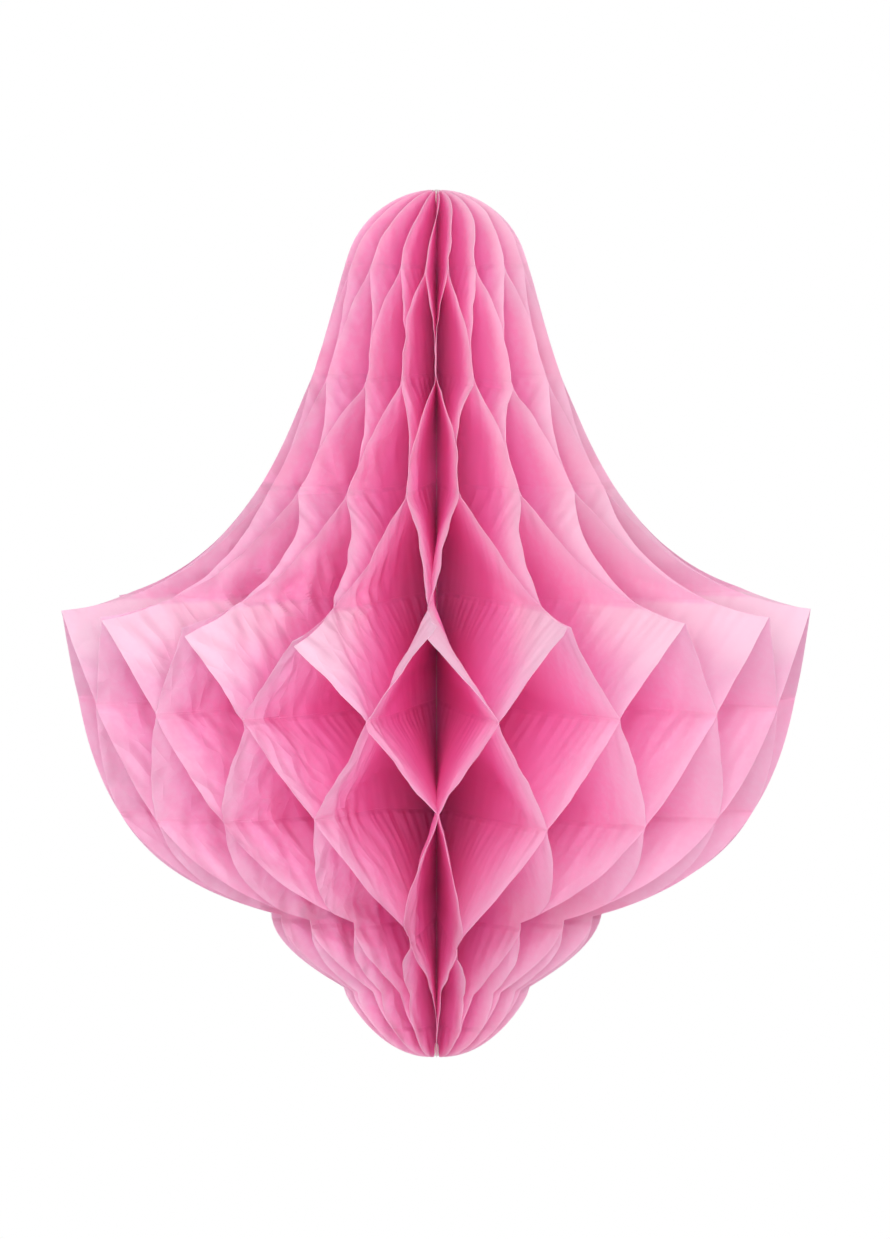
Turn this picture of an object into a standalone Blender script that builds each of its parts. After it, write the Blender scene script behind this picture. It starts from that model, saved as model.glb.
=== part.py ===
"""Honeycomb paper bell.

A hanging decoration of die-cut tissue sheets. Every sheet is half of the bell's
outline. The sheets stand round a hollow spine like the pages of an opened book,
and short lines of glue join each one to its left neighbour in one row and to its
right neighbour in the next, so the paper opens into a honeycomb of diamond cells.
A thread runs down the spine and holds it with a knot at each end.

Units are metres and +Z is up. The origin is the point on the axis that the bell
hangs from, at the top of the upper knot, and the bell reaches down from it. Its
front looks along -Y.
"""

import math

import bmesh
import bpy
from mathutils import Vector
from mathutils.geometry import interpolate_bezier

# Paper and glue
SHEET_COUNT = 36
PAPER_THICKNESS = 0.00005
GLUE_GAP = 0.0003
GLUE_LINE_HEIGHT = 0.003

# Rows of glue: one lies just above the rim, the others are spaced up and down from it
ROW_TO_RIM = 0.0056
ROW_PITCH = 0.0376

# Dome and flare, from the top down to the rim
DOME_RADIUS = 0.0318
SHOULDER_SLOPE = math.radians(72.5)
NECK_HEIGHT = 0.1438
RIM_RADIUS = 0.1305
FLARE_PULL_SHOULDER = 0.055
FLARE_PULL_RIM = 0.072
FLARE_RIM_SLOPE = math.radians(6)

# Belly, from the rim down to the upper notch
BELLY_HEIGHT = 0.1057
UPPER_NOTCH_RADIUS = 0.0572
BELLY_RIM_SLOPE = math.radians(104)
BELLY_PULL_RIM = 0.042
BELLY_NOTCH_SLOPE = math.radians(165.5)
BELLY_PULL_NOTCH = 0.068

# Two small tiers below the belly
UPPER_TIER_HEIGHT = 0.0262
LOWER_NOTCH_RADIUS = 0.0324
UPPER_TIER_PULL_TOP = 0.0125
UPPER_TIER_NOTCH_SLOPE = math.radians(145)
UPPER_TIER_PULL_NOTCH = 0.004
LOWER_TIER_HEIGHT = 0.0243
LOWER_TIER_PULL_TOP = 0.004
LOWER_TIER_PULL_TIP = 0.0165

# Thread down the hollow spine, and its knots
THREAD_DIAMETER = 0.0008
KNOT_GRIP = 0.0005
KNOT_CLEARANCE = 0.0003
KNOT_HOLLOW_MARGIN = 0.002

# How finely the round stretches are drawn
CURVE_STEPS = 24
OUTLINE_TOLERANCE = 0.0006
CLOSEST_STATIONS = 0.0012
THREAD_SIDES = 12
KNOT_STEPS = 7

STRAIGHT_DOWN = math.radians(90)
STRAIGHT_IN = math.radians(180)

SHEET_STEP = 2 * math.pi / SHEET_COUNT
FOLD_ANGLE = SHEET_STEP / 2
HALF_SPACING = (PAPER_THICKNESS + GLUE_GAP) / 2
SPINE_RADIUS = HALF_SPACING / math.sin(FOLD_ANGLE)

RIM_DEPTH = NECK_HEIGHT
RIM_ROW_DEPTH = RIM_DEPTH - ROW_TO_RIM
UPPER_NOTCH_DEPTH = RIM_DEPTH + BELLY_HEIGHT
LOWER_NOTCH_DEPTH = UPPER_NOTCH_DEPTH + UPPER_TIER_HEIGHT
BELL_HEIGHT = LOWER_NOTCH_DEPTH + LOWER_TIER_HEIGHT

# A knot rests on the sheets' inner corners, inside the hollow that they leave
KNOT_RADIUS = SPINE_RADIUS + KNOT_GRIP
KNOT_HOLLOW_RADIUS = KNOT_RADIUS + KNOT_HOLLOW_MARGIN
KNOT_RISE = math.sqrt((KNOT_RADIUS + KNOT_CLEARANCE) ** 2 - SPINE_RADIUS ** 2)
KNOT_HOLLOW_DEPTH = KNOT_RADIUS + KNOT_RISE


def clear_scene():
    for thing in list(bpy.data.objects):
        bpy.data.objects.remove(thing, do_unlink=True)


def make_material(name, colour, roughness):
    material = bpy.data.materials.new(name)
    material.use_nodes = True
    shader = material.node_tree.nodes["Principled BSDF"]
    shader.inputs["Base Color"].default_value = colour
    shader.inputs["Roughness"].default_value = roughness
    shader.inputs["Metallic"].default_value = 0.0
    return material


# The outline of a sheet: a point is its radius and its depth below the top


def heading(slope):
    """Direction in the outline: a slope of 0 runs outwards and 90 degrees runs down."""
    return Vector((math.cos(slope), math.sin(slope)))


def dome_points():
    """Arc from the edge of the knot's hollow to the shoulder."""
    crest = math.asin(KNOT_HOLLOW_RADIUS / DOME_RADIUS)
    turn = (SHOULDER_SLOPE - crest) / CURVE_STEPS
    angles = [crest + turn * step for step in range(CURVE_STEPS + 1)]
    return [Vector((math.sin(angle), 1 - math.cos(angle))) * DOME_RADIUS for angle in angles]


def curve_points(start, start_slope, start_pull, end, end_slope, end_pull):
    """Curve that leaves start and reaches end at the given slopes, without start itself."""
    start_handle = start + heading(start_slope) * start_pull
    end_handle = end - heading(end_slope) * end_pull
    return interpolate_bezier(start, start_handle, end_handle, end, CURVE_STEPS + 1)[1:]


def sheet_outline():
    """Outer edge of a sheet, from the top to the tip."""
    rim = Vector((RIM_RADIUS, RIM_DEPTH))
    upper_notch = Vector((UPPER_NOTCH_RADIUS, UPPER_NOTCH_DEPTH))
    lower_notch = Vector((LOWER_NOTCH_RADIUS, LOWER_NOTCH_DEPTH))
    tip = Vector((KNOT_HOLLOW_RADIUS, BELL_HEIGHT))
    points = dome_points()
    points += curve_points(points[-1], SHOULDER_SLOPE, FLARE_PULL_SHOULDER,
                           rim, FLARE_RIM_SLOPE, FLARE_PULL_RIM)
    points += curve_points(rim, BELLY_RIM_SLOPE, BELLY_PULL_RIM,
                           upper_notch, BELLY_NOTCH_SLOPE, BELLY_PULL_NOTCH)
    points += curve_points(upper_notch, STRAIGHT_DOWN, UPPER_TIER_PULL_TOP,
                           lower_notch, UPPER_TIER_NOTCH_SLOPE, UPPER_TIER_PULL_NOTCH)
    points += curve_points(lower_notch, STRAIGHT_DOWN, LOWER_TIER_PULL_TOP,
                           tip, STRAIGHT_IN, LOWER_TIER_PULL_TIP)
    return points


def radius_at(outline, depth):
    for above, below in zip(outline, outline[1:]):
        if above.y <= depth <= below.y and below.y > above.y:
            return above.x + (below.x - above.x) * (depth - above.y) / (below.y - above.y)
    return outline[-1].x


# The rows of glue


def row_depths():
    """Depths of the rows of glue, as many as fit between the hollows for the knots."""
    half_line = GLUE_LINE_HEIGHT / 2
    highest = KNOT_HOLLOW_DEPTH + half_line
    lowest = BELL_HEIGHT - KNOT_HOLLOW_DEPTH - half_line
    above_rim = math.floor((RIM_ROW_DEPTH - highest) / ROW_PITCH)
    below_rim = math.floor((lowest - RIM_ROW_DEPTH) / ROW_PITCH)
    return [RIM_ROW_DEPTH + ROW_PITCH * row for row in range(-above_rim, below_rim + 1)]


def fold_depths():
    """Depths of the upper and lower edge of each glue line, and halfway between the rows."""
    half_line = GLUE_LINE_HEIGHT / 2
    rows = row_depths()
    edges = [row + side for row in rows for side in (-half_line, half_line)]
    return edges + [row + ROW_PITCH / 2 for row in rows[:-1]]


def swing_at(depth):
    """Which neighbour a sheet leans to: -1 in the rim's row of glue, 1 in the rows beside it.

    The paper leaves each glue line flat and crosses its middle plane halfway to the next row.
    Beyond the first and the last row nothing pulls it across, so it stays with its neighbour.
    """
    rows = row_depths()
    depth = min(max(depth, rows[0]), rows[-1])
    nearest = round((depth - RIM_ROW_DEPTH) / ROW_PITCH)
    side = 1 if nearest % 2 else -1
    half_line = GLUE_LINE_HEIGHT / 2
    beyond_line = abs(depth - RIM_ROW_DEPTH - nearest * ROW_PITCH) - half_line
    free_share = max(beyond_line, 0) / (ROW_PITCH / 2 - half_line)
    return side * math.cos(free_share * math.pi / 2)


def farthest_from_chord(outline, upper, lower):
    """The outline's point between two depths that lies farthest from the straight line."""
    start = Vector((radius_at(outline, upper), upper))
    end = Vector((radius_at(outline, lower), lower))
    across = (end - start).orthogonal().normalized()
    inside = [point for point in outline if upper < point.y < lower]
    if not inside:
        return None, 0
    farthest = max(inside, key=lambda point: abs((point - start).dot(across)))
    return farthest.y, abs((farthest - start).dot(across))


def station_depths(outline):
    """Depths where a sheet has points: its ends, corners, glue lines and round stretches."""
    top = outline[0].y
    stations = [top, RIM_DEPTH, UPPER_NOTCH_DEPTH, LOWER_NOTCH_DEPTH, BELL_HEIGHT]
    for depth in fold_depths():
        clear = min(abs(depth - other) for other in stations) > CLOSEST_STATIONS
        if clear and top < depth < BELL_HEIGHT:
            stations.append(depth)
    stations.sort()
    index = 0
    while index < len(stations) - 1:
        depth, distance = farthest_from_chord(outline, stations[index], stations[index + 1])
        if distance > OUTLINE_TOLERANCE:
            stations.insert(index + 1, depth)
        else:
            index += 1
    return stations


def spine_depth(depth):
    """Depth of a station at the spine, whose ends leave room for the knots."""
    if depth < BELL_HEIGHT / 2:
        return max(depth, KNOT_HOLLOW_DEPTH + depth / 2)
    from_end = BELL_HEIGHT - depth
    return BELL_HEIGHT - max(from_end, KNOT_HOLLOW_DEPTH + from_end / 2)


def folded_point(radius, depth, swing, hand):
    """Place of a point of a folded sheet whose middle plane looks along -Y."""
    lean = swing * FOLD_ANGLE * hand
    outwards = Vector((math.sin(lean), -math.cos(lean), 0))
    towards_glue = Vector((math.cos(lean), math.sin(lean), 0)) * swing * hand
    reach = math.sqrt(radius ** 2 - HALF_SPACING ** 2)
    return outwards * reach - towards_glue * HALF_SPACING - Vector((0, 0, depth))


def make_sheet_mesh(name, hand, material):
    """One folded sheet, drawn as its spine edge and pulled out to its outline."""
    outline = sheet_outline()
    stations = station_depths(outline)
    shape = bmesh.new()
    spine = [shape.verts.new(folded_point(SPINE_RADIUS, spine_depth(depth), swing_at(depth), hand))
             for depth in stations]
    spine_edges = [shape.edges.new(pair) for pair in zip(spine, spine[1:])]
    pulled = bmesh.ops.extrude_edge_only(shape, edges=spine_edges)["geom"]
    outer_edge = [item for item in pulled if isinstance(item, bmesh.types.BMVert)]
    outer_edge.sort(key=lambda vert: -vert.co.z)
    for vert, depth in zip(outer_edge, stations):
        vert.co = folded_point(radius_at(outline, depth), depth, swing_at(depth), hand)
    bmesh.ops.triangulate(shape, faces=shape.faces[:], quad_method="FIXED")
    mesh = bpy.data.meshes.new(name)
    shape.to_mesh(mesh)
    shape.free()
    mesh.materials.append(material)
    return mesh


def make_sheets(material):
    """All sheets round the spine. Neighbours are mirror images, so glue planes meet."""
    right_hand = make_sheet_mesh("tissue_sheet_right", 1, material)
    left_hand = make_sheet_mesh("tissue_sheet_left", -1, material)
    for index in range(SHEET_COUNT):
        mesh = left_hand if index % 2 else right_hand
        sheet = bpy.data.objects.new(f"tissue_sheet_{index + 1:02d}", mesh)
        sheet.rotation_euler = (0, 0, SHEET_STEP * (index + 0.5))
        bpy.context.collection.objects.link(sheet)
        paper = sheet.modifiers.new("paper", "SOLIDIFY")
        paper.thickness = PAPER_THICKNESS
        paper.offset = 0


def knot_points(centre_depth, direction):
    """Half circle of a knot from its outer pole to the thread, as (radius, depth)."""
    thread_side = math.pi - math.asin(THREAD_DIAMETER / 2 / KNOT_RADIUS)
    points = []
    for step in range(KNOT_STEPS + 1):
        angle = thread_side * step / KNOT_STEPS
        points.append((KNOT_RADIUS * math.sin(angle),
                       centre_depth - direction * KNOT_RADIUS * math.cos(angle)))
    return points


def make_thread(material):
    """Thread with its two knots, turned about the axis."""
    upper = knot_points(KNOT_RADIUS, 1)
    lower = knot_points(BELL_HEIGHT - KNOT_RADIUS, -1)
    profile = upper + lower[::-1]
    shape = bmesh.new()
    line = [shape.verts.new((radius, 0, -depth)) for radius, depth in profile]
    edges = [shape.edges.new(pair) for pair in zip(line, line[1:])]
    bmesh.ops.spin(shape, geom=line + edges, cent=(0, 0, 0), axis=(0, 0, 1),
                   angle=2 * math.pi, steps=THREAD_SIDES, use_merge=True)
    bmesh.ops.remove_doubles(shape, verts=shape.verts[:], dist=THREAD_DIAMETER / 100)
    bmesh.ops.recalc_face_normals(shape, faces=shape.faces[:])
    mesh = bpy.data.meshes.new("spine_thread")
    shape.to_mesh(mesh)
    shape.free()
    mesh.shade_smooth()
    mesh.materials.append(material)
    thread = bpy.data.objects.new("spine_thread", mesh)
    bpy.context.collection.objects.link(thread)


def main():
    clear_scene()
    make_sheets(make_material("pink_tissue", (0.86, 0.23, 0.47, 1), 0.85))
    make_thread(make_material("white_cotton", (0.85, 0.82, 0.78, 1), 0.9))


if __name__ == "__main__":
    main()
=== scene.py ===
"""Honeycomb paper bell: the folded tissue, its thread and a small white studio.

Every sheet is cut from one flat blank, folded between its rows of glue and stood
round the spine. Lengths are metres, +Z is up, the bell hangs from the origin and
its front looks along -Y. A place on the flat paper is a radius, measured from the
spine, and a depth, measured down from the top.
"""

import functools
import math

import bmesh
import bpy
from bpy.props import FloatProperty, FloatVectorProperty, IntProperty, PointerProperty
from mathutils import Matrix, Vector, noise
from mathutils.geometry import interpolate_bezier


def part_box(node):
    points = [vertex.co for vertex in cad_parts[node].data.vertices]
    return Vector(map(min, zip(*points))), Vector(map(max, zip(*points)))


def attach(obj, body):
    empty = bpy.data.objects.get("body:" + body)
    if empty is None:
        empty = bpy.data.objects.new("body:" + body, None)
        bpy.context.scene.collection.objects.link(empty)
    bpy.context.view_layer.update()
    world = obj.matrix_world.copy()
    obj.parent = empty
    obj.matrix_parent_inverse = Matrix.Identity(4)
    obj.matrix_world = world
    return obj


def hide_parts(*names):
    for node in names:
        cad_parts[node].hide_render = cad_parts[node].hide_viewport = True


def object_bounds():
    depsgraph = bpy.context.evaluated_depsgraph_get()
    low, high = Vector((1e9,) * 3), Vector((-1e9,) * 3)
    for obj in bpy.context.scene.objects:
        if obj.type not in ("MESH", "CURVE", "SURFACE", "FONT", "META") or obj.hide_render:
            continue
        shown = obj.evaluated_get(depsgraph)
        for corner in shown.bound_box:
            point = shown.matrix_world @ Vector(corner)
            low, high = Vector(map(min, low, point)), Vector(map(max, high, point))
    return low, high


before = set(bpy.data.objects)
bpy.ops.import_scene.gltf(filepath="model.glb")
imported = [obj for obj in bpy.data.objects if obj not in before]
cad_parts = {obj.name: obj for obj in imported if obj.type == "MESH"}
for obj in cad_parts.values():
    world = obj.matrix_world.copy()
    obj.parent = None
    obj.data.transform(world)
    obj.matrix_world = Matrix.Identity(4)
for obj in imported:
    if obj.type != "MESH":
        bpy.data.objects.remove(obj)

bl_info = {
    "name": "Honeycomb Paper Bell",
    "version": (1, 0, 0),
    "blender": (4, 5, 0),
    "location": "3D View > Sidebar > Bell",
    "description": "Makes the folded tissue, the spine thread and the studio of a honeycomb paper bell",
    "category": "Add Mesh",
}

MODEL_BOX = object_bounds()
THREAD_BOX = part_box("spine_thread")
BELL_HEIGHT = -THREAD_BOX[0].z
KNOT_RADIUS = THREAD_BOX[1].x
RIM_RADIUS = MODEL_BOX[1].y
SHEET_NODES = sorted(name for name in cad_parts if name.startswith("tissue_sheet_"))

STRAIGHT_DOWN = math.radians(90)
STRAIGHT_IN = math.radians(180)
FLAT_MAP = "flat_paper"
EDGE_LAYER = "edge_distance"
SHEET_LAYER = "sheet_number"
CRUMPLE_LAYER = "crumpled_share"
# Attribute with the weight of each sheet's painted highlight on its rim flap
FLAP_HIGHLIGHT_LAYER = "faded_flap"


# How far the joints at the front are turned, in degrees, and lie too low, in metres, by plane of glue and row
JOINT_TURNS = {
    (31, 0): 5, (33, 0): 7, (35, 0): 3.4, (1, 0): -2.4, (3, 0): -5, (5, 0): -2.7,
    (32, 1): 5, (34, 1): 3.8, (0, 1): -0.6, (2, 1): -3.1, (4, 1): -3.5,
    (1, 2): -2.9, (3, 2): -2.9,
    (0, 3): -1.6,
    (33, 4): -1.8, (35, 4): -0.9,
    (32, 5): -2, (34, 5): -2.4,
    (35, 6): 1.2, (1, 6): -3.2,
}
JOINT_DROPS = {(0, 1): -0.002, (4, 1): 0.002, (0, 5): -0.005, (34, 5): -0.0035, (35, 6): 0.0035, (1, 6): 0.008}

# How far the two rim tips at the front lean to the right and hang, in metres, by sheet
FRONT_TIPS = {35: (0.004, 0), 0: (0.001, 0.0045)}


# Degrees that each lamp stands to the right of the front and above the bell's middle
LAMP_PLACES = {"front": (0, 8), "left": (-40, 22), "right": (50, 34)}


# Settings that a user can change


def length(name, description, default):
    return FloatProperty(name=name, description=description, default=default, unit="LENGTH", precision=5)


def slope(name, description, degrees):
    return FloatProperty(name=name, description=description, default=math.radians(degrees), unit="ROTATION")


def share(name, description, default):
    return FloatProperty(name=name, description=description, default=default, min=0, max=1, subtype="FACTOR")


def plain(name, description, default):
    return FloatProperty(name=name, description=description, default=default, min=0)


def colour(name, description, default):
    return FloatVectorProperty(name=name, description=description, default=default,
                               subtype="COLOR", size=3, min=0, max=1)


class BellOutline(bpy.types.PropertyGroup):
    """Outline that every sheet is cut to."""
    dome_radius: length("Dome Radius", "Radius of the round top", 0.0318)
    shoulder_slope: slope("Shoulder Slope", "Slope where the dome runs into the flare", 72.5)
    neck_height: length("Neck Height", "Depth of the rim below the top", 0.1438)
    flare_pull_shoulder: length("Flare Pull at Shoulder", "How far the flare follows the shoulder", 0.055)
    flare_pull_rim: length("Flare Pull at Rim", "How far the flare follows the rim", 0.072)
    flare_rim_slope: slope("Flare Slope at Rim", "Slope of the flare where it meets the rim", 6)
    belly_height: length("Belly Height", "From the rim down to the upper notch", 0.1057)
    upper_notch_radius: length("Upper Notch Radius", "Radius at the foot of the belly", 0.0572)
    belly_rim_slope: slope("Belly Slope at Rim", "Slope of the belly just below the rim", 104)
    belly_pull_rim: length("Belly Pull at Rim", "How far the belly follows its slope at the rim", 0.042)
    belly_notch_slope: slope("Belly Slope at Notch", "Slope of the belly at the upper notch", 165.5)
    belly_pull_notch: length("Belly Pull at Notch", "How far the belly follows its slope at the notch", 0.068)
    upper_tier_height: length("Upper Tier Height", "From the upper to the lower notch", 0.0262)
    lower_notch_radius: length("Lower Notch Radius", "Radius at the foot of the upper tier", 0.0324)
    upper_tier_pull_top: length("Upper Tier Pull at Top", "How far the upper tier runs straight down", 0.0125)
    upper_tier_notch_slope: slope("Upper Tier Slope", "Slope of the upper tier at the lower notch", 145)
    upper_tier_pull_notch: length("Upper Tier Pull at Notch", "How far it follows that slope", 0.004)
    lower_tier_pull_top: length("Lower Tier Pull at Top", "How far the lower tier runs straight down", 0.004)
    lower_tier_pull_tip: length("Lower Tier Pull at Tip", "How far it runs straight in at the tip", 0.0165)
    spine_radius: length("Spine Radius", "Radius of the hollow that the sheets leave round the thread", 0.0007)
    knot_room: length("Knot Room", "Clear paper cut away round each knot", 0.0004)


class BellPaper(bpy.types.PropertyGroup):
    """Paper, its glue and how it folds."""
    thickness: length("Thickness", "Thickness of the tissue", 0.00005)
    glued_spacing: length("Glued Spacing", "Between the middles of two glued sheets", 0.0001)
    joint_height: length("Joint Height", "Height of a joint's flat middle", 0.0008)
    row_pitch: length("Row Pitch", "From one row of glue to the next", 0.0376)
    row_to_rim: length("Row to Rim", "From the rim up to the nearest row of glue", 0.0056)
    contact_above: length("Contact above Glue", "How far the neck's sheets lie together above the glue", 0.009)
    contact_below: length("Contact below Glue", "The same below the glue", 0.0006)
    bend: length("Bend", "How far a glued pair strays from its plane", 0.0011)
    crumple: length("Crumple", "Height of the small crumples", 0.007)
    flutter: length("Flutter", "Waviness of the cut edge", 0.001)
    row_stray: length("Row Stray", "How far a joint strays up or down", 0.0012)
    turn_stray: slope("Turn Stray", "How far a joint strays round the bell", 0.5)
    crest_twist: slope("Crest Twist", "How far the top's crest is twisted", 14)
    tip_droop: length("Tip Droop", "How far the crumpled side's rim tips hang", 0.006)
    side_droop: length("Side Droop", "How far the rim tips just behind the sides hang", 0.0028)
    tip_curl: length("Tip Curl", "How far those tips lean away from the front", 0.003)
    tip_splay: share("Tip Splay", "How far the two tips at a joint part, as a share of a cell", 0.03)
    grid_step: length("Grid Step", "Distance between the mesh's points along the cut edge", 0.0028)
    columns: IntProperty(name="Columns", description="Faces from the spine to the edge", default=40, min=4)


class BellColours(bpy.types.PropertyGroup):
    """Colours of the paper and the thread."""
    tissue: colour("Tissue", "Colour of the paper", (0.995, 0.43, 0.72))
    tissue_pale: colour("Thin Tissue", "Colour where the fibres lie thin", (0.995, 0.51, 0.77))
    # Painted shade: a deeper, more saturated pink deep in the cells, where light bounces between the walls
    painted_cell_shade: colour("Painted Cell Shade", "Deeper pink painted as shade deep in the cells", (0.995, 0.34, 0.71))
    # Painted highlight: a paler pink along the cut and on the rim flaps, where more light falls
    painted_highlight: colour("Painted Highlight", "Paler pink painted as highlight beside the cut and on the rim flaps", (0.985, 0.79, 0.885))
    glow: colour("Glow", "Colour of light that comes through each face", (0.998, 0.7, 0.86))
    # Painted highlight: a pale band along the cut edge, where the sheet's rim catches the light
    painted_edge_highlight: colour("Painted Edge Highlight", "Pale pink painted as highlight along the cut edge", (0.98, 0.8, 0.9))
    see_through: share("See Through", "Share of light that passes through the paper", 0.32)
    thread: colour("Thread", "Colour of the cotton", (0.80, 0.76, 0.72))


class BellStudio(bpy.types.PropertyGroup):
    """Camera, lamps and floor."""
    distance: length("Camera Distance", "From the camera to the bell's axis", 4.0)
    elevation: slope("Camera Elevation", "How far the camera looks down", 3.4)
    frame_height: length("Frame Height", "Height of the picture at the bell's axis", 0.4281)
    aim_aside: length("Aim Aside", "How far the picture's middle lies right of the axis", 0.0029)
    aim_above: length("Aim Above", "How far it lies above the bell's middle", 0.0015)
    floor_depth: length("Floor Depth", "Depth of the floor below the hanging point", 0.75)
    floor_radius: length("Floor Radius", "Radius of the round floor", 2.4)
    lamp_distance: length("Lamp Distance", "From each lamp to the bell's middle", 1.8)
    lamp_size: length("Lamp Size", "Width of each round lamp", 0.9)
    front_power: plain("Front Power", "Watts of the lamp in front", 14.5)
    left_power: plain("Left Power", "Watts of the lamp on the left", 7)
    right_power: plain("Right Power", "Watts of the lamp on the right", 8)
    surround: plain("Surround", "Strength of the white surroundings", 0.46)


SETTINGS = {
    "bell_outline": BellOutline,
    "bell_paper": BellPaper,
    "bell_colours": BellColours,
    "bell_studio": BellStudio,
}


# Outline of a sheet, as points of radius and depth


def heading(angle):
    """Direction in the outline: an angle of 0 runs outwards and 90 degrees runs down."""
    return Vector((math.cos(angle), math.sin(angle)))


def knot_hollow_depth(shape):
    """Depth of the spine's ends, where the paper makes room for a knot seated on the ring."""
    return KNOT_RADIUS + math.sqrt(KNOT_RADIUS ** 2 - shape.spine_radius ** 2)


def dome_points(shape, steps):
    """Arc from the edge of the upper knot's hollow to the shoulder."""
    crest = math.asin((KNOT_RADIUS + shape.knot_room) / shape.dome_radius)
    turn = (shape.shoulder_slope - crest) / steps
    angles = [crest + turn * step for step in range(steps + 1)]
    return [Vector((math.sin(angle), 1 - math.cos(angle))) * shape.dome_radius for angle in angles]


def curve_points(start, start_slope, start_pull, end, end_slope, end_pull, steps):
    """Curve that leaves start and reaches end at the given slopes, without start itself."""
    start_handle = start + heading(start_slope) * start_pull
    end_handle = end - heading(end_slope) * end_pull
    return interpolate_bezier(start, start_handle, end_handle, end, steps + 1)[1:]


def sheet_outline(shape, steps=48):
    """Cut edge of a sheet, from the top to the tip, and the depths of its corners."""
    rim = Vector((RIM_RADIUS, shape.neck_height))
    upper_notch = Vector((shape.upper_notch_radius, rim.y + shape.belly_height))
    lower_notch = Vector((shape.lower_notch_radius, upper_notch.y + shape.upper_tier_height))
    tip = Vector((KNOT_RADIUS + shape.knot_room, BELL_HEIGHT))
    points = dome_points(shape, steps)
    points += curve_points(points[-1], shape.shoulder_slope, shape.flare_pull_shoulder,
                           rim, shape.flare_rim_slope, shape.flare_pull_rim, steps)
    points += curve_points(rim, shape.belly_rim_slope, shape.belly_pull_rim,
                           upper_notch, shape.belly_notch_slope, shape.belly_pull_notch, steps)
    points += curve_points(upper_notch, STRAIGHT_DOWN, shape.upper_tier_pull_top,
                           lower_notch, shape.upper_tier_notch_slope, shape.upper_tier_pull_notch, steps)
    points += curve_points(lower_notch, STRAIGHT_DOWN, shape.lower_tier_pull_top,
                           tip, STRAIGHT_IN, shape.lower_tier_pull_tip, steps)
    return points, [points[0].y, rim.y, upper_notch.y, lower_notch.y, tip.y]


def between(low, high, value):
    """Smooth step from 0 at low to 1 at high."""
    ratio = min(max((value - low) / (high - low), 0), 1)
    return ratio * ratio * (3 - 2 * ratio)


def mix(first, second, ratio):
    return first + (second - first) * ratio


def set_off(ratio, start):
    """A ratio from 0 to 1 that sets off softly, over its first share, and then runs evenly."""
    gone = ratio ** 2 / (2 * start) if ratio < start else ratio - start / 2
    return gone / (1 - start / 2)


class Cut:
    """Flat shape of every sheet: its outline, and the depths at which the blank has rows of points."""

    def __init__(self, shape, paper):
        self.points, self.corners = sheet_outline(shape)
        self.shape = shape
        self.rim = shape.neck_height
        self.pitch = paper.row_pitch
        self.half_joint = paper.joint_height / 2
        rim_row = self.rim - paper.row_to_rim
        self.rim_row = math.floor(rim_row / self.pitch)
        self.last_row = self.rim_row + math.floor((BELL_HEIGHT - rim_row) / self.pitch)
        self.first_row = rim_row - self.rim_row * self.pitch
        self.hollow = knot_hollow_depth(shape)

    def row_depth(self, row):
        return self.first_row + row * self.pitch

    def radius_at(self, depth):
        for above, below in zip(self.points, self.points[1:]):
            if above.y <= depth <= below.y and below.y > above.y:
                return mix(above.x, below.x, (depth - above.y) / (below.y - above.y))
        return self.points[-1].x

    def spine_depth(self, depth):
        """Depth at the spine of the row of points that reaches the cut edge at this depth."""
        if depth < BELL_HEIGHT / 2:
            return max(depth, self.hollow + depth / 2)
        from_end = BELL_HEIGHT - depth
        return BELL_HEIGHT - max(from_end, self.hollow + from_end / 2)

    def stations(self, step):
        """Depths of the blank's rows, a step apart along the cut edge, with rows at corners and glue."""
        fixed = list(self.corners)
        for row in range(math.ceil(BELL_HEIGHT / self.pitch)):
            for edge in (-self.half_joint, self.half_joint):
                depth = self.row_depth(row) + edge
                if min(abs(depth - other) for other in fixed) > self.half_joint / 2 and depth < BELL_HEIGHT:
                    fixed.append(depth)
        fixed.sort()
        stations = fixed[:1]
        for upper, lower in zip(fixed, fixed[1:]):
            stretch = [Vector((self.radius_at(upper), upper))]
            stretch += [point for point in self.points if upper < point.y < lower]
            stretch.append(Vector((self.radius_at(lower), lower)))
            stations += spaced_depths(stretch, step)
        return stations

    def edge_distance(self, radius, depth):
        """Shortest way from a place on the paper to the cut edge."""
        place = Vector((radius, depth))
        return min((point - place).length for point in self.points)


def spaced_depths(stretch, step):
    """Depths of points about a step apart along a stretch of the outline, without its start."""
    runs = [(second - first).length for first, second in zip(stretch, stretch[1:])]
    parts = max(1, round(sum(runs) / step))
    wanted = [sum(runs) * part / parts for part in range(1, parts)]
    depths = []
    walked = 0
    for first, second, run in zip(stretch, stretch[1:], runs):
        while wanted and wanted[0] <= walked + run:
            depths.append(mix(first.y, second.y, (wanted.pop(0) - walked) / run))
        walked += run
    return depths + [stretch[-1].y]


def make_blank(cut, paper):
    """Flat die-cut sheet in the XZ plane, with its spine along Z and its depth running down."""
    stations = cut.stations(paper.grid_step)
    last = len(stations) - 1
    blank = bmesh.new()
    bmesh.ops.create_grid(blank, x_segments=paper.columns, y_segments=last, size=0.5)
    edge_layer = blank.verts.layers.float.new(EDGE_LAYER)
    flat_map = blank.loops.layers.uv.new(FLAT_MAP)
    for vert in blank.verts:
        across = (vert.co.x + 0.5) ** 0.85
        depth = stations[round((0.5 - vert.co.y) * last)]
        outer = cut.radius_at(depth)
        radius = mix(cut.shape.spine_radius, outer, across)
        depth = mix(cut.spine_depth(depth), depth, across)
        vert.co = (radius, 0, -depth)
        vert[edge_layer] = cut.edge_distance(radius, depth)
    for face in blank.faces:
        for loop in face.loops:
            loop[flat_map].uv = (loop.vert.co.x, -loop.vert.co.z)
    mesh = bpy.data.meshes.new("die_cut_blank")
    blank.to_mesh(mesh)
    blank.free()
    return mesh


# Folding


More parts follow.
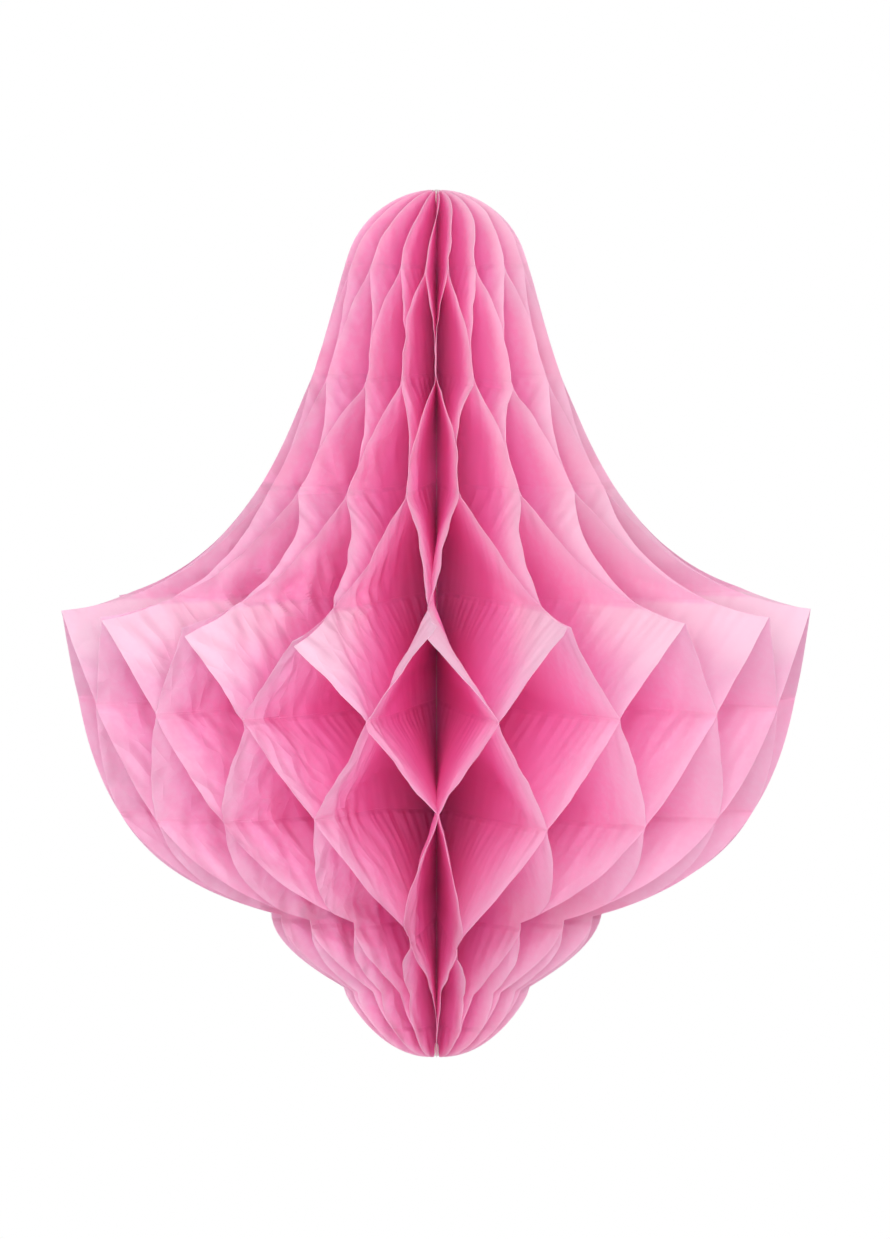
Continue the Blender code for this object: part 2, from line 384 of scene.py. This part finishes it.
@functools.cache
def chance(*keys):
    """Three steady random values from -1 to 1 for a joint or a sheet."""
    return noise.cell_vector(Vector((*keys, 0, 0)[:3]) + Vector((0.5, 0.5, 0.5))) * 2 - Vector((1, 1, 1))


class Folding:
    """Works out where a place on the flat paper lies once the bell is opened."""

    def __init__(self, cut, paper, count):
        self.cut = cut
        self.paper = paper
        self.count = count
        self.step = 2 * math.pi / count
        self.flap_top = Vector((cut.radius_at(cut.row_depth(cut.rim_row) + cut.half_joint),
                                cut.row_depth(cut.rim_row) + cut.half_joint))
        foot = cut.row_depth(cut.rim_row + 1) - cut.half_joint
        self.flap_line = (Vector((cut.radius_at(foot), foot)) - self.flap_top).normalized()
        self.flap_reach = self.beyond_flap_line(RIM_RADIUS, cut.rim)
        self.tip_swing = (cut.rim - self.flap_top.y) / (foot - self.flap_top.y)
        self.known_shifts = {}

    def beyond_flap_line(self, radius, depth):
        """How far a place lies outside the crease from the rim's glue to the next row's joint."""
        place = Vector((radius, depth)) - self.flap_top
        return place.x * self.flap_line.y - place.y * self.flap_line.x

    def crumpled_side(self, plane):
        """1 on the bell's left, where the paper was handled, and less on its right."""
        return mix(0.35, 1, between(-0.2, 0.5, -math.sin(plane * self.step)))

    def side_at(self, sheet, row):
        """Which plane of glue a sheet lies in at a row: 0 for its own, 1 for the next one round."""
        return 0 if (sheet + row - self.cut.rim_row) % 2 == 0 else 1

    def contact(self, plane, row, radius):
        """How far sheets lie together above and below a joint: most in the narrow neck."""
        neck = between(0.105, 0.05, radius) * between(0.028, 0.04, self.cut.radius_at(self.cut.row_depth(row)))
        above, below, _ = chance(plane, row, 2)
        return (self.paper.contact_above * neck * (1 + above * 0.6),
                self.paper.contact_below * neck * (1 + below * 0.6))

    def share_between(self, sheet, radius, depth):
        """How far a sheet has swung from its own plane of glue to the next one.

        Above the first row and below the last one nothing pulls it across, so it stays.
        """
        cut = self.cut
        row = math.floor((depth - cut.first_row) / cut.pitch)
        if row < 0 or row >= cut.last_row:
            return self.side_at(sheet, min(max(row, 0), cut.last_row))
        upper, lower = self.side_at(sheet, row), self.side_at(sheet, row + 1)
        start = cut.half_joint + self.contact(sheet + upper, row, radius)[1]
        end = cut.pitch - cut.half_joint - self.contact(sheet + lower, row + 1, radius)[0]
        swing = min(max((depth - cut.row_depth(row) - start) / (end - start), 0), 1)
        narrow = between(0.105, 0.045, radius) * (0.85 if row < cut.rim_row else 0.25)
        swing = set_off(swing, mix(0.05, 0.16, narrow) * (1 + chance(sheet, row, 5).x * 0.5))
        swing = mix(swing, 1 - (1 - swing) ** 2, narrow)
        if row == cut.rim_row:
            beyond = self.beyond(radius, depth)
            splay = 0 if sheet in FRONT_TIPS else self.paper.tip_splay * abs(chance(sheet, 4).x)
            swing = max(swing - self.tip_swing * beyond, 0) + splay * beyond ** 2
        fold = mix(upper, lower, swing)
        loose = noise.noise(Vector((radius * 30, depth * 22, sheet * 5.3)))
        return fold + loose * mix(0.15, 0.4, narrow) * min(fold, 1 - fold)

    def joint_value(self, table, plane, above, ratio):
        """A table's value on a plane of glue between the joint above and the one below it."""
        return mix(table.get((plane, above), 0), table.get((plane, above + 2), 0), ratio)

    def beyond(self, radius, depth):
        """0 inside the rim's creases and 1 at the tips."""
        near_rim = self.flap_top.y < depth < self.cut.row_depth(self.cut.rim_row + 1)
        return max(self.beyond_flap_line(radius, depth), 0) / self.flap_reach if near_rim else 0

    def plane_shift(self, plane, radius, depth, edge):
        """Sideways, turning and downward stray of the paper that lies in a plane of glue."""
        paper, cut = self.paper, self.cut
        rough = self.crumpled_side(plane)
        spread = between(0, 0.06, radius)
        seed = plane * 7.7
        bend = noise.noise(Vector((radius * 22, depth * 14, seed)))
        near, _ = noise.voronoi(Vector((radius * 85 + depth * 35, depth * 75 - radius * 12, seed + 3)))
        crease = (near[0] - 0.35) * (0.4 + 0.6 * between(0, 0.012, edge)) * (1 - 0.85 * between(0.012, 0.04, edge))
        ripple = noise.noise(Vector((depth * 170, radius * 25, seed + 9)))
        calm = 1 - 0.4 * between(cut.rim, cut.rim - 0.03, depth)
        sideways = paper.bend * bend * rough + paper.crumple * crease * (rough - 0.2) * calm
        sideways = sideways * spread + paper.flutter * ripple * math.exp(-edge / 0.006) * between(0, 0.03, radius)
        row = (depth - cut.first_row) / cut.pitch
        above = math.floor(row)
        if (plane + above - cut.rim_row) % 2:
            above -= 1
        ratio = (row - above) / 2
        first, second = chance(plane, above, 1), chance(plane, above + 2, 1)
        stray = first * (1 - ratio) + second * ratio
        turn = stray.x * paper.turn_stray * rough
        turn += math.radians(self.joint_value(JOINT_TURNS, plane, above, ratio))
        turn += paper.crest_twist * max(1 - depth / cut.first_row, 0) ** 1.6
        drop = (stray.y * paper.row_stray * rough + self.joint_value(JOINT_DROPS, plane, above, ratio)) * spread
        around = math.sin(plane * self.step)
        sideways -= paper.tip_curl * self.beyond(radius, depth) ** 1.5 * between(0.1, -0.25, around)
        return sideways, turn, drop

    def tip_sag(self, sheet, radius, depth):
        """Droop of a free rim tip: most at the front of the bell's left, and some just behind its sides."""
        if sheet in FRONT_TIPS:
            return FRONT_TIPS[sheet][1] * self.beyond(radius, depth)
        angle = (sheet + 0.5) * self.step
        around = math.sin(angle)
        hanging = between(0.15, -0.1, around) * between(1, 0.4, -around) * (1 if sheet % 2 == 0 else 0.7)
        behind_side = between(0.8, 0.95, abs(around)) * between(0.05, -0.05, math.cos(angle))
        return (self.paper.tip_droop * hanging + self.paper.side_droop * behind_side) * self.beyond(radius, depth)

    def flap_highlight_weight(self, sheet):
        """How much painted highlight a sheet's rim flap gets: less where it lies behind its neighbour's, seen from
        the front.
        """
        in_front = (sheet % 2 == 1) == (math.sin((sheet + 0.5) * self.step) > 0)
        return 1 if in_front or sheet in FRONT_TIPS else 0.25

    def tip_lean(self, sheet, radius, depth):
        """Sideways lean of the two rim tips at the front."""
        return FRONT_TIPS[sheet][0] * self.beyond(radius, depth) ** 1.5 if sheet in FRONT_TIPS else 0

    def shifts_along(self, plane, spots):
        """Strays of a plane of glue at all the blank's points, which its two sheets share."""
        plane %= self.count
        if plane not in self.known_shifts:
            self.known_shifts[plane] = [self.plane_shift(plane, *spot) for spot in spots]
        return self.known_shifts[plane]

    def place(self, sheet, radius, depth, own, following):
        fold = self.share_between(sheet, radius, depth)
        sideways = mix(own[0], following[0], fold) + self.paper.glued_spacing * (0.5 - fold)
        sideways += self.tip_lean(sheet, radius, depth)
        angle = (sheet + fold) * self.step + mix(own[1], following[1], fold)
        drop = mix(own[2], following[2], fold) + self.tip_sag(sheet, radius, depth)
        outwards = Vector((math.sin(angle), -math.cos(angle), 0))
        aside = Vector((math.cos(angle), math.sin(angle), 0))
        return outwards * radius + aside * sideways - Vector((0, 0, depth + drop))


def fold_sheet(blank, folding, sheet, name, thickness):
    """One sheet, folded from the blank and given its thickness."""
    paper = bmesh.new()
    paper.from_mesh(blank)
    edge_layer = paper.verts.layers.float[EDGE_LAYER]
    sheet_layer = paper.verts.layers.float.new(SHEET_LAYER)
    crumple_layer = paper.verts.layers.float.new(CRUMPLE_LAYER)
    flap_highlight_layer = paper.verts.layers.float.new(FLAP_HIGHLIGHT_LAYER)
    spots = [(vert.co.x, -vert.co.z, vert[edge_layer]) for vert in paper.verts]
    own = folding.shifts_along(sheet, spots)
    following = folding.shifts_along(sheet + 1, spots)
    for vert, spot, *strays in zip(paper.verts, spots, own, following):
        vert.co = folding.place(sheet, *spot[:2], *strays)
        vert[sheet_layer] = sheet
        vert[crumple_layer] = folding.crumpled_side(sheet + 0.5)
        # Weight of the painted highlight on this sheet's rim flap
        vert[flap_highlight_layer] = folding.flap_highlight_weight(sheet)
    bmesh.ops.recalc_face_normals(paper, faces=paper.faces[:])
    bmesh.ops.solidify(paper, geom=paper.faces[:], thickness=thickness)
    mesh = bpy.data.meshes.new(name)
    paper.to_mesh(mesh)
    paper.free()
    return mesh


def add_piece(mesh, name, material, slot, *replaced):
    """Puts a finished mesh in the scene, on the bell's body, in place of the nodes it stands for."""
    mesh.shade_smooth()
    mesh.set_sharp_from_angle(angle=math.radians(20))
    mesh.materials.append(material)
    piece = bpy.data.objects.new(name, mesh)
    bpy.context.scene.collection.objects.link(piece)
    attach(piece, "root")
    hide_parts(*replaced)
    return piece


# Materials


class Socket:
    """A number socket whose Python operators add Math nodes."""

    def __init__(self, shader, output):
        self.shader = shader
        self.output = output

    def maths(self, operation, *values):
        return self.shader.add("ShaderNodeMath", {"operation": operation}, values)

    def __add__(self, other):
        return self.maths("ADD", self, other)

    def __radd__(self, other):
        return self.maths("ADD", other, self)

    def __sub__(self, other):
        return self.maths("SUBTRACT", self, other)

    def __rsub__(self, other):
        return self.maths("SUBTRACT", other, self)

    def __mul__(self, other):
        return self.maths("MULTIPLY", self, other)

    def __rmul__(self, other):
        return self.maths("MULTIPLY", other, self)

    def __truediv__(self, other):
        return self.maths("DIVIDE", self, other)

    def power(self, exponent):
        return self.maths("POWER", self, exponent)

    def part(self):
        """What is left over a whole number."""
        return self.maths("FRACT", self)

    def fade(self, low, high):
        """Smooth step from 0 at low to 1 at high."""
        return self.shader.add("ShaderNodeMapRange", {"interpolation_type": "SMOOTHSTEP"},
                               {"Value": self, "From Min": low, "From Max": high})


class Shader:
    """Builds a material's nodes from Python expressions."""

    def __init__(self, name):
        self.material = bpy.data.materials.new(name)
        self.material.use_nodes = True
        self.nodes = self.material.node_tree.nodes
        self.links = self.material.node_tree.links
        self.surface = self.nodes["Principled BSDF"]
        self.end = self.nodes["Material Output"]

    def feed(self, target, value):
        if isinstance(value, Socket):
            self.links.new(value.output, target)
        else:
            target.default_value = value

    def add(self, kind, settings=None, values=(), output=0):
        """Adds a node, its settings first, then the values or links of its sockets."""
        node = self.nodes.new(kind)
        for key, value in (settings or {}).items():
            setattr(node, key, value)
        pairs = values.items() if isinstance(values, dict) else enumerate(values)
        for key, value in pairs:
            self.feed(node.inputs[key], value)
        return Socket(self, node.outputs[output])

    def vector(self, x, y, z):
        return self.add("ShaderNodeCombineXYZ", values=(x, y, z))

    def clouds(self, where, scale, detail, dimensions="2D"):
        return self.add("ShaderNodeTexNoise", {"noise_dimensions": dimensions},
                        {"Vector": where, "Scale": scale, "Detail": detail})

    def cells(self, where, scale):
        """Distance to the border of the nearest of many scattered cells."""
        return self.add("ShaderNodeTexVoronoi", {"voronoi_dimensions": "2D", "feature": "DISTANCE_TO_EDGE"},
                        {"Vector": where, "Scale": scale})

    def blend_colours(self, ratio, first, second):
        """Mix of two colours: sockets 6 and 7 of the node are its colours."""
        return self.add("ShaderNodeMix", {"data_type": "RGBA"}, {0: ratio, 6: first, 7: second}, output=2)

    def finish(self, **sockets):
        for name, value in sockets.items():
            self.feed(self.surface.inputs[name.replace("_", " ")], value)
        return self.material


def solid(rgb):
    return (*rgb, 1)


def tissue_material(colours, cut):
    """Thin fibrous tissue: cloudy, finely creased below each row of glue, and lit through, with painted shade deep
    in the cells and painted highlights along the cut and on the rim flaps.
    """
    shader = Shader("pink_tissue")
    flat = shader.add("ShaderNodeUVMap", {"uv_map": FLAT_MAP})
    separate = shader.add("ShaderNodeSeparateXYZ", values=(flat,))
    depth = Socket(shader, separate.output.node.outputs[1])
    number = shader.add("ShaderNodeAttribute", {"attribute_name": SHEET_LAYER}, output=2)
    edge = shader.add("ShaderNodeAttribute", {"attribute_name": EDGE_LAYER}, output=2)
    crumpled = shader.add("ShaderNodeAttribute", {"attribute_name": CRUMPLE_LAYER}, output=2)
    flap_highlight_share = shader.add("ShaderNodeAttribute", {"attribute_name": FLAP_HIGHLIGHT_LAYER}, output=2)
    radius = separate + number * 0.31
    inwards = edge / separate

    fibres = shader.clouds(shader.vector(radius, depth, 0), 420, 4)
    wisps = shader.clouds(shader.vector(radius, depth * 0.35, 0), 1500, 2)
    below_row = ((depth - cut.first_row) / cut.pitch + 1).part() * cut.pitch
    # Painted highlight: a pale band about a millimetre wide along the cut edge
    edge_highlight_share = 1 - edge.fade(0, 0.0009)
    # Painted highlight: a paler pink on the rim flaps and in a band along the cut, where light falls; the band is
    # wider and stronger on the bell's less crumpled right and above the rim
    below_crease = depth - cut.row_depth(cut.rim_row)
    flap = below_crease.fade(-0.0005, 0.0025) * (1 - below_crease.fade(0.014, 0.038))
    highlight_on_flaps = flap * (1 - inwards.fade(0.05, 0.28)) * (0.95 - crumpled * 0.2) * flap_highlight_share
    above_rim = (cut.rim - depth).fade(0, 0.03)
    smooth = 1.1 - crumpled
    highlight_along_cut = (1 - (inwards / (smooth * 0.2 + 0.12)).fade(0, 1)) * (smooth * (above_rim * 0.35 + 0.1) + 0.42)
    painted_highlight = highlight_on_flaps.maths("MAXIMUM", highlight_on_flaps, highlight_along_cut)
    colour = shader.blend_colours(fibres.fade(0.35, 0.7), solid(colours.tissue), solid(colours.tissue_pale))
    # Painted shade: the paper turns a deeper pink away from the cut and towards the spine, deep in the cells
    colour = shader.blend_colours(inwards.fade(0.12, 0.6), colour, solid(colours.painted_cell_shade))
    colour = shader.blend_colours(painted_highlight, colour, solid(colours.painted_highlight))
    colour = shader.blend_colours(edge_highlight_share * 0.45, colour, solid(colours.painted_edge_highlight))

    slanted = radius + depth * 0.4
    puckers = shader.clouds(shader.vector(slanted, depth * 0.3, 0), 205, 0)
    pucker_zone = below_row.fade(0, 0.002) * (1 - below_row.fade(0.005, 0.02) * 0.75)
    facets = shader.cells(shader.vector(slanted, depth * 0.8, 0), 85).fade(0, 0.4)
    relief = puckers * pucker_zone * (0.6 + crumpled * 0.38)
    relief += facets * (0.9 - above_rim * 0.45) * (crumpled - 0.15) * (1 - inwards.fade(0.1, 0.8))
    bump = shader.add("ShaderNodeBump", values={"Strength": 1.0, "Distance": 0.001, "Height": relief})

    glow = shader.add("ShaderNodeBsdfTranslucent", values={"Color": solid(colours.glow)})
    material = shader.finish(Base_Color=colour, Roughness=0.72 + wisps * 0.12, Normal=bump,
                             Specular_IOR_Level=0.25)
    inside = shader.add("ShaderNodeNewGeometry", output=6)
    mixed = shader.add("ShaderNodeMixShader", values={0: inside.maths("MAXIMUM", inside, colours.see_through)})
    mix_node = mixed.output.node
    shader.links.new(shader.surface.outputs[0], mix_node.inputs[1])
    shader.links.new(glow.output, mix_node.inputs[2])
    shader.links.new(mixed.output, shader.end.inputs["Surface"])
    return material


def thread_material(colours):
    """Twisted cotton."""
    shader = Shader("white_cotton")
    where = shader.add("ShaderNodeTexCoord", output=3)
    lay = shader.add("ShaderNodeTexWave", {"bands_direction": "DIAGONAL"},
                     {"Vector": where, "Scale": 900, "Distortion": 1.5}, output=1)
    fuzz = shader.clouds(where, 2600, 3, "3D")
    soiled = shader.blend_colours(fuzz.fade(0.3, 0.8), solid(colours.thread),
                                  solid([channel * 0.86 for channel in colours.thread]))
    bump = shader.add("ShaderNodeBump", values={"Strength": 0.8, "Distance": 0.0001,
                                                "Height": lay + fuzz * 0.4})
    return shader.finish(Base_Color=soiled, Roughness=0.85 + fuzz * 0.1, Normal=bump)


# Operators


class BELL_OT_tissue_sheets(bpy.types.Operator):
    """Cuts, folds and glues all the sheets of tissue"""
    bl_idname = "bell.tissue_sheets"
    bl_label = "Tissue Sheets"

    def execute(self, context):
        scene = context.scene
        paper = scene.bell_paper
        cut = Cut(scene.bell_outline, paper)
        folding = Folding(cut, paper, len(SHEET_NODES))
        material = tissue_material(scene.bell_colours, cut)
        blank = make_blank(cut, paper)
        for sheet, node in enumerate(SHEET_NODES):
            name = node.replace("tissue_sheet", "folded_tissue")
            mesh = fold_sheet(blank, folding, sheet, name, paper.thickness)
            add_piece(mesh, name, material, "tissue_paper", node)
        bpy.data.meshes.remove(blank)
        return {"FINISHED"}


class BELL_OT_spine_thread(bpy.types.Operator):
    """Gives the cotton thread down the spine, with a knot at each end, its cotton material"""
    bl_idname = "bell.spine_thread"
    bl_label = "Spine Thread"

    def execute(self, context):
        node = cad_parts["spine_thread"]
        node.data.materials.clear()
        node.data.materials.append(thread_material(context.scene.bell_colours))
        return {"FINISHED"}


class BELL_OT_studio(bpy.types.Operator):
    """Makes the floor, the lamps, the white surroundings and the camera"""
    bl_idname = "bell.studio"
    bl_label = "Studio"

    def execute(self, context):
        scene = context.scene
        studio = scene.bell_studio
        make_floor(scene, studio)
        make_surround(scene, studio)
        middle = Vector((0, 0, -BELL_HEIGHT / 2))
        for name, (turn, rise) in LAMP_PLACES.items():
            power = getattr(studio, name + "_power")
            add_lamp(scene, studio, name + "_lamp", math.radians(turn), math.radians(rise), middle, power)
        add_camera(scene, studio, middle)
        scene.view_settings.view_transform = "Standard"
        scene.cycles.max_bounces = 14
        scene.cycles.diffuse_bounces = 10
        scene.cycles.transmission_bounces = 11
        return {"FINISHED"}


def white_to_camera(shader, lit, see):
    """Mixes a lit surface with plain white for the rays that the camera, gloss and glass see."""
    path = shader.add("ShaderNodeLightPath")
    outputs = path.output.node.outputs
    seen = Socket(shader, outputs["Is Camera Ray"])
    for name in ("Is Glossy Ray", "Is Transmission Ray"):
        seen = seen.maths("MAXIMUM", seen, Socket(shader, outputs[name]))
    white = shader.add("ShaderNodeEmission", values={"Color": (1, 1, 1, 1), "Strength": 1.0})
    mixed = shader.add("ShaderNodeMixShader", values={0: seen * see})
    shader.links.new(lit, mixed.output.node.inputs[1])
    shader.links.new(white.output, mixed.output.node.inputs[2])
    return mixed.output


def make_floor(scene, studio):
    floor = bmesh.new()
    bmesh.ops.create_circle(floor, cap_ends=True, segments=96, radius=studio.floor_radius)
    bmesh.ops.translate(floor, verts=floor.verts[:], vec=(0, 0, -studio.floor_depth))
    mesh = bpy.data.meshes.new("floor")
    floor.to_mesh(mesh)
    floor.free()
    shader = Shader("pale_floor")
    shader.finish(Base_Color=(0.85, 0.85, 0.85, 1), Roughness=0.9)
    output = white_to_camera(shader, shader.surface.outputs[0], 0.85)
    shader.links.new(output, shader.end.inputs["Surface"])
    mesh.materials.append(shader.material)
    ground = bpy.data.objects.new("floor", mesh)
    scene.collection.objects.link(ground)


def make_surround(scene, studio):
    world = bpy.data.worlds.new("white_surround")
    world.use_nodes = True
    scene.world = world
    nodes, links = world.node_tree.nodes, world.node_tree.links
    path = nodes.new("ShaderNodeLightPath")
    strength = nodes.new("ShaderNodeMix")
    strength.inputs["A"].default_value = studio.surround
    strength.inputs["B"].default_value = 1.0
    links.new(path.outputs["Is Camera Ray"], strength.inputs["Factor"])
    background = nodes["Background"]
    background.inputs["Color"].default_value = (1, 1, 1, 1)
    links.new(strength.outputs["Result"], background.inputs["Strength"])


def add_lamp(scene, studio, name, turn, rise, aim, power):
    """Round lamp, turned to the right of the front and raised above the bell's middle."""
    level = Vector((math.sin(turn), -math.cos(turn), 0)) * math.cos(rise)
    place = aim + (level + Vector((0, 0, math.sin(rise)))) * studio.lamp_distance
    light = bpy.data.lights.new(name, "AREA")
    light.shape = "DISK"
    light.size = studio.lamp_size
    light.energy = power
    lamp = bpy.data.objects.new(name, light)
    lamp.location = place
    lamp.rotation_mode = "QUATERNION"
    lamp.rotation_quaternion = (aim - place).to_track_quat("-Z", "Y")
    scene.collection.objects.link(lamp)


def add_camera(scene, studio, middle):
    back = Vector((0, -math.cos(studio.elevation), math.sin(studio.elevation)))
    upwards = Vector((0, math.sin(studio.elevation), math.cos(studio.elevation)))
    aim = middle + Vector((studio.aim_aside, 0, 0)) + upwards * studio.aim_above
    data = bpy.data.cameras.new("camera")
    data.lens = data.sensor_width * studio.distance / studio.frame_height
    camera = bpy.data.objects.new("camera", data)
    camera.location = aim + back * studio.distance
    camera.rotation_mode = "QUATERNION"
    camera.rotation_quaternion = (-back).to_track_quat("-Z", "Y")
    scene.collection.objects.link(camera)
    scene.camera = camera


OPERATORS = (BELL_OT_studio, BELL_OT_tissue_sheets, BELL_OT_spine_thread)


class VIEW3D_PT_honeycomb_bell(bpy.types.Panel):
    """Lists the steps that make the bell"""
    bl_label = "Honeycomb Bell"
    bl_idname = "VIEW3D_PT_honeycomb_bell"
    bl_space_type = "VIEW_3D"
    bl_region_type = "UI"
    bl_category = "Bell"

    def draw(self, context):
        column = self.layout.column()
        for operator in OPERATORS:
            column.operator(operator.bl_idname)
        for name in SETTINGS:
            group = getattr(context.scene, name)
            box = self.layout.box()
            for key in type(group).__annotations__:
                box.prop(group, key)


def register():
    for group in SETTINGS.values():
        bpy.utils.register_class(group)
    for operator in OPERATORS:
        bpy.utils.register_class(operator)
    bpy.utils.register_class(VIEW3D_PT_honeycomb_bell)
    for name, group in SETTINGS.items():
        setattr(bpy.types.Scene, name, PointerProperty(type=group))


def unregister():
    for name in SETTINGS:
        delattr(bpy.types.Scene, name)
    bpy.utils.unregister_class(VIEW3D_PT_honeycomb_bell)
    for operator in reversed(OPERATORS):
        bpy.utils.unregister_class(operator)
    for group in reversed(SETTINGS.values()):
        bpy.utils.unregister_class(group)


def main():
    register()
    bpy.ops.bell.studio()
    bpy.ops.bell.tissue_sheets()
    bpy.ops.bell.spine_thread()


if __name__ == "__main__":
    main()
